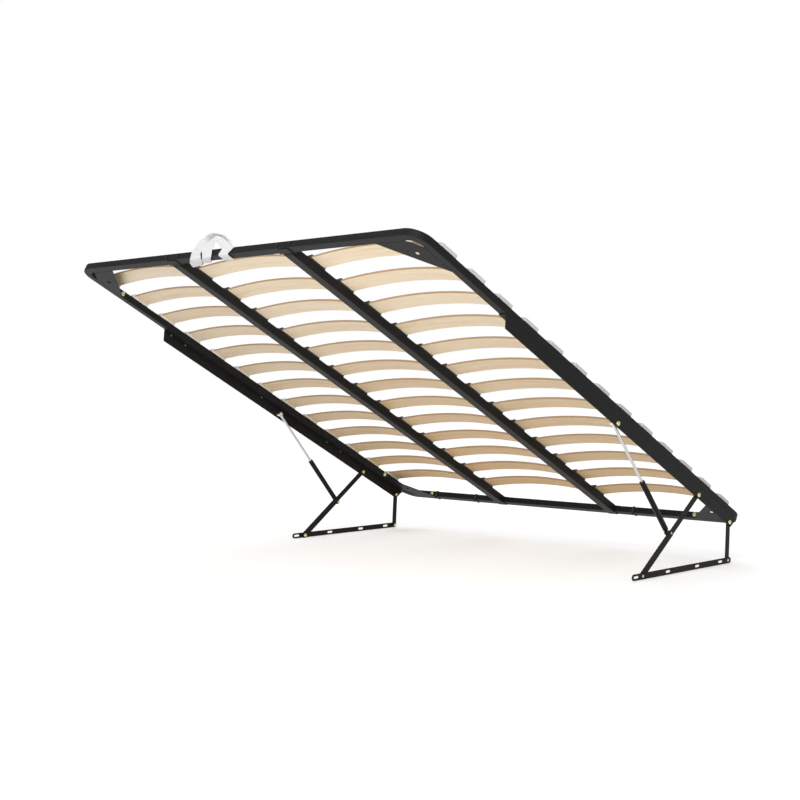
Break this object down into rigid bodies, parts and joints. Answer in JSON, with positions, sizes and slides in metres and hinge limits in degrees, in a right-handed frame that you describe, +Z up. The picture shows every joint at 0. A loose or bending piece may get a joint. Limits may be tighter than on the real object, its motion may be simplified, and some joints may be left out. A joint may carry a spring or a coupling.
{
  "type": "bed lift mechanism",
  "caption": "Slatted bed platform on two side four-bar lift hinges with gas struts, slotted base plates and a webbing pull strap.",
  "frame": {"origin": "midpoint between the two long arms' pivots on the base plates", "axes": "+X to the right as seen from the foot, +Y toward the head of the bed, +Z up; opened pose at rest"},
  "size_m": [1.764, 1.8262, 1.1913],
  "materials": {
    "black_paint": "satin",
    "zinc_yellow": "semi gloss yellow zinc plating",
    "rod_steel": "polished",
    "zinc_white": "zinc plated",
    "birch": "satin lacquer",
    "white_plastic": "matt",
    "black_plastic": "matt",
    "webbing": "woven",
    "seal": "matt",
    "dark_screw": "black oxide"
  },
  "bodies": {
    "base": {"base_pivot_nuts": "zinc_yellow", "base_pivot_studs": "zinc_yellow", "base_plate_left": "black_paint", "base_plate_right": "black_paint"},
    "long_arm_left": {"long_arm_left": "black_paint", "strut_foot_pin_left": "zinc_yellow"},
    "long_arm_right": {"long_arm_right": "black_paint", "strut_foot_pin_right": "zinc_yellow"},
    "short_arm_left": {"short_arm_left": "black_paint", "short_arm_nut_left": "zinc_yellow"},
    "short_arm_right": {"short_arm_nut_right": "zinc_yellow", "short_arm_right": "black_paint"},
    "platform": {"foot_corner_plates": "black_paint", "foot_tube": "black_paint", "frame_bolts": "zinc_yellow", "head_corner_plates": "black_paint", "head_ties": "black_plastic", "head_tube": "black_paint", "inner_rail_left": "black_paint", "inner_rail_right": "black_paint", "lift_rail_left": "black_paint", "lift_rail_right": "black_paint", "long_arm_bolts": "zinc_yellow", "pull_strap": "webbing", "rail_end_brackets": "black_paint", "rail_end_screws": "dark_screw", "rail_sleeves": "black_paint", "short_arm_bolts": "zinc_yellow", "side_rail_left": "black_paint", "side_rail_right": "black_paint", "slat_caps": "white_plastic", "slat_joiners": "black_plastic", "slat_row_01": "birch", "slat_row_02": "birch", "slat_row_03": "birch", "slat_row_04": "birch", "slat_row_05": "birch", "slat_row_06": "birch", "slat_row_07": "birch", "slat_row_08": "birch", "slat_row_09": "birch", "slat_row_10": "birch", "slat_row_11": "birch", "slat_row_12": "birch", "slat_row_13": "birch", "strut_head_studs": "zinc_yellow"},
    "strut_tube_left": {"strut_foot_eye_left": "black_paint", "strut_gland_left": "seal", "strut_tube_left": "black_paint"},
    "strut_tube_right": {"strut_foot_eye_right": "black_paint", "strut_gland_right": "seal", "strut_tube_right": "black_paint"},
    "strut_rod_left": {"strut_head_eye_left": "zinc_white", "strut_head_nut_left": "zinc_white", "strut_piston_left": "seal", "strut_rod_left": "rod_steel"},
    "strut_rod_right": {"strut_head_eye_right": "zinc_white", "strut_head_nut_right": "zinc_white", "strut_piston_right": "seal", "strut_rod_right": "rod_steel"}
  },
  "joints": [
    {"name": "platform_hinge", "type": "hinge", "parent": "long_arm_left", "child": "platform", "pos_m": [-0.8775, 0.35118, 0.25671], "axis": [1, 0, 0], "range_deg": [0, 53.37]},
    {"name": "long_arm_hinge_left", "type": "hinge", "parent": "base", "child": "long_arm_left", "pos_m": [-0.8775, 0, 0], "axis": [1, 0, 0], "range_deg": [-25.36, 0]},
    {"name": "short_arm_hinge_left", "type": "hinge", "parent": "base", "child": "short_arm_left", "pos_m": [-0.8775, 0.554, 0], "axis": [1, 0, 0], "range_deg": [-50.47, 0]},
    {"name": "strut_hinge_left", "type": "hinge", "parent": "long_arm_left", "child": "strut_tube_left", "pos_m": [-0.856, 0.18084, 0.13219], "axis": [1, 0, 0], "range_deg": [0, 69.99]},
    {"name": "strut_slide_left", "type": "slide", "parent": "strut_tube_left", "child": "strut_rod_left", "axis": [0, -0.6387, 0.7694], "range_m": [-0.154, 0]},
    {"name": "long_arm_hinge_right", "type": "hinge", "parent": "base", "child": "long_arm_right", "pos_m": [0.8775, 0, 0], "axis": [1, 0, 0], "range_deg": [-25.36, 0]},
    {"name": "short_arm_hinge_right", "type": "hinge", "parent": "base", "child": "short_arm_right", "pos_m": [0.8775, 0.554, 0], "axis": [1, 0, 0], "range_deg": [-50.47, 0]},
    {"name": "strut_hinge_right", "type": "hinge", "parent": "long_arm_right", "child": "strut_tube_right", "pos_m": [0.856, 0.18084, 0.13219], "axis": [1, 0, 0], "range_deg": [0, 69.99]},
    {"name": "strut_slide_right", "type": "slide", "parent": "strut_tube_right", "child": "strut_rod_right", "axis": [0, -0.6387, 0.7694], "range_m": [-0.154, 0]}
  ],
  "couplings": [
    {"joint": "long_arm_hinge_left", "follows": "platform_hinge", "ratio": -0.46595},
    {"joint": "short_arm_hinge_left", "follows": "platform_hinge", "ratio": -0.92728},
    {"joint": "strut_hinge_left", "follows": "platform_hinge", "ratio": 1.2858},
    {"joint": "strut_slide_left", "follows": "platform_hinge", "m_per_rad": -0.16211},
    {"joint": "long_arm_hinge_right", "follows": "platform_hinge", "ratio": -0.46595},
    {"joint": "short_arm_hinge_right", "follows": "platform_hinge", "ratio": -0.92728},
    {"joint": "strut_hinge_right", "follows": "platform_hinge", "ratio": 1.2858},
    {"joint": "strut_slide_right", "follows": "platform_hinge", "m_per_rad": -0.16211}
  ]
}
